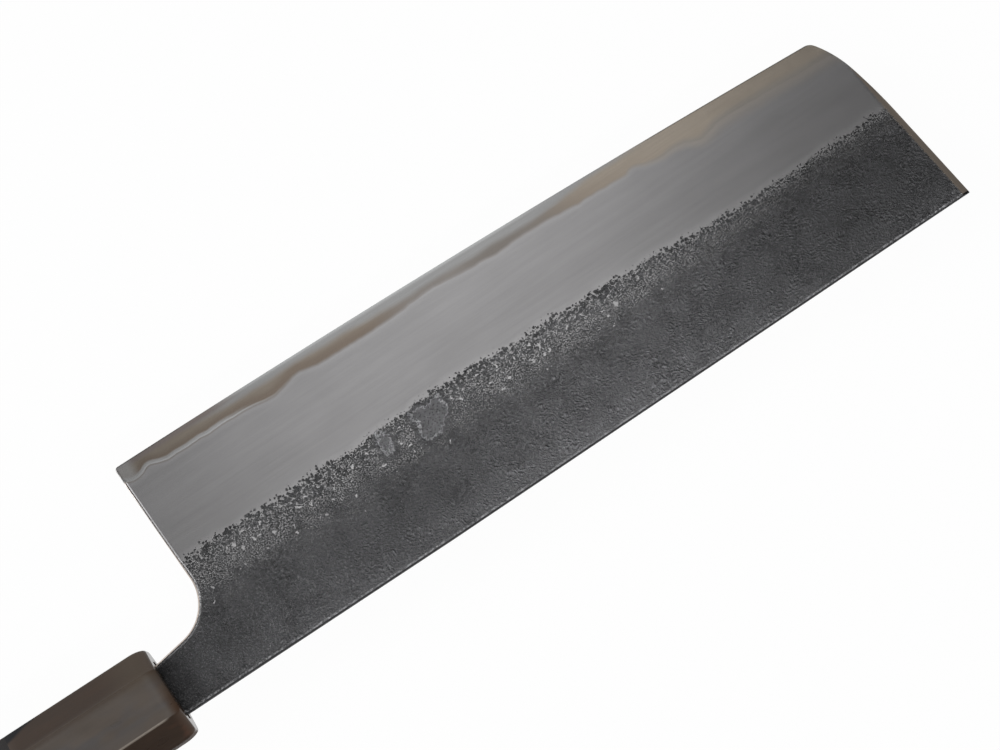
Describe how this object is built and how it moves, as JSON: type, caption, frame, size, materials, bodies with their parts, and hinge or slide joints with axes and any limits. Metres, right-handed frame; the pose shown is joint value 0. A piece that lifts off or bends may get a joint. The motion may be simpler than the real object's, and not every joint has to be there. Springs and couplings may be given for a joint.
{
  "type": "nakiri knife",
  "caption": "Vegetable knife with a tall laminated blade, dark forge scale above a wide ground bevel, a horn ferrule and an octagonal wooden handle.",
  "frame": {"origin": "on the handle axis, at the front face of the ferrule", "axes": "+X along the handle axis to the tip of the blade, +Y from the spine to the cutting edge, +Z out of the left face of the blade"},
  "size_m": [0.3295, 0.0565, 0.0196],
  "materials": {
    "core_steel": "polished, with a faint brown patina",
    "cladding": "dark forge scale above, satin ground bevel below",
    "ferrule": "satin",
    "handle_body": "oiled",
    "dowel": "plain",
    "tang_adhesive": "plain"
  },
  "bodies": {
    "root": {"core_steel": "core_steel", "cladding_left": "cladding", "cladding_right": "cladding", "ferrule": "ferrule", "handle_body": "handle_body", "dowel": "dowel", "tang_adhesive": "tang_adhesive"}
  },
  "joints": []
}
